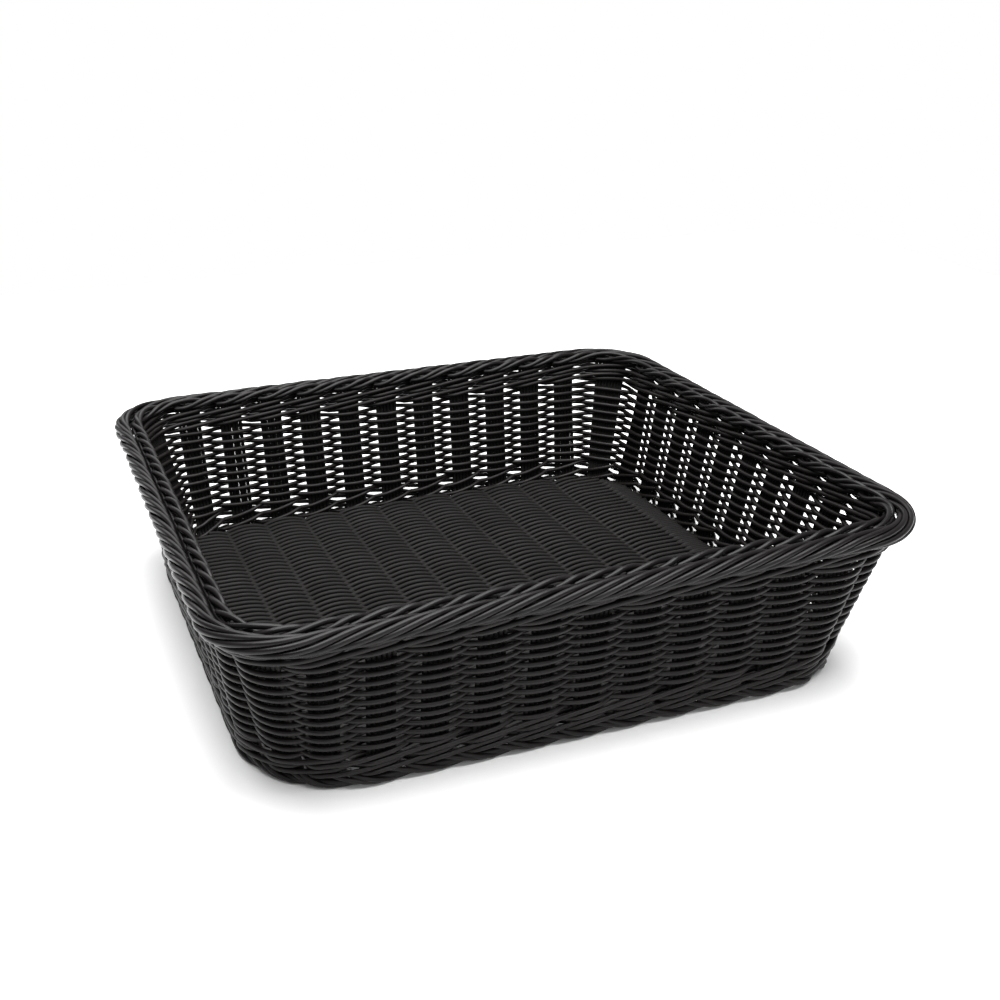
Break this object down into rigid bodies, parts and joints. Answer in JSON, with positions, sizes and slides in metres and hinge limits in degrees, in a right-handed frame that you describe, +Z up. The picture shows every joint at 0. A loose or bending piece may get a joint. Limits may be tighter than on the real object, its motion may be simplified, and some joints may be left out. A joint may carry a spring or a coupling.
{
  "type": "bread basket",
  "caption": "Low flared bread basket hand-woven from black round plastic cane, with rounded corners, a thick two-rope rim and an open woven body.",
  "frame": {"origin": "middle of the footprint, on the surface the basket stands on", "axes": "+X along the long side, +Y from the front wall to the back wall, +Z up through the open top"},
  "size_m": [0.354, 0.325, 0.0915],
  "materials": {
    "stake_canes": "satin black extruded plastic cane",
    "weaving_canes": "satin black extruded plastic cane, fine lengthwise streaks",
    "waling_canes": "satin black extruded plastic cane",
    "base_canes": "satin black extruded plastic cane",
    "foot_canes": "satin black extruded plastic cane, slightly scuffed below",
    "rim_canes": "satin black extruded plastic cane, soft grey highlights",
    "inner_rim_canes": "satin black extruded plastic cane"
  },
  "bodies": {
    "root": {"base_weave_1": "base_canes", "base_weave_2": "base_canes", "base_weave_3": "base_canes", "base_weave_4": "base_canes", "base_weave_5": "base_canes", "base_weave_6": "base_canes", "base_weave_7": "base_canes", "base_weave_8": "base_canes", "base_weave_9": "base_canes", "bottom_wale": "waling_canes", "corner_stake_back_left": "stake_canes", "corner_stake_back_right": "stake_canes", "corner_stake_front_left": "stake_canes", "corner_stake_front_right": "stake_canes", "cross_stake_01": "stake_canes", "cross_stake_02": "stake_canes", "cross_stake_03": "stake_canes", "cross_stake_04": "stake_canes", "cross_stake_05": "stake_canes", "cross_stake_06": "stake_canes", "cross_stake_07": "stake_canes", "cross_stake_08": "stake_canes", "cross_stake_09": "stake_canes", "cross_stake_10": "stake_canes", "cross_stake_11": "stake_canes", "foot_ring": "foot_canes", "inner_rim_rope": "inner_rim_canes", "left_stake_1": "stake_canes", "left_stake_10": "stake_canes", "left_stake_2": "stake_canes", "left_stake_3": "stake_canes", "left_stake_4": "stake_canes", "left_stake_5": "stake_canes", "left_stake_6": "stake_canes", "left_stake_7": "stake_canes", "left_stake_8": "stake_canes", "left_stake_9": "stake_canes", "outer_rim_rope": "rim_canes", "right_stake_1": "stake_canes", "right_stake_10": "stake_canes", "right_stake_2": "stake_canes", "right_stake_3": "stake_canes", "right_stake_4": "stake_canes", "right_stake_5": "stake_canes", "right_stake_6": "stake_canes", "right_stake_7": "stake_canes", "right_stake_8": "stake_canes", "right_stake_9": "stake_canes", "top_wale": "waling_canes", "wall_weave_1": "weaving_canes", "wall_weave_2": "weaving_canes", "wall_weave_3": "weaving_canes", "wall_weave_4": "weaving_canes", "wall_weave_5": "weaving_canes", "wall_weave_6": "weaving_canes", "wall_weave_7": "weaving_canes"}
  },
  "joints": []
}
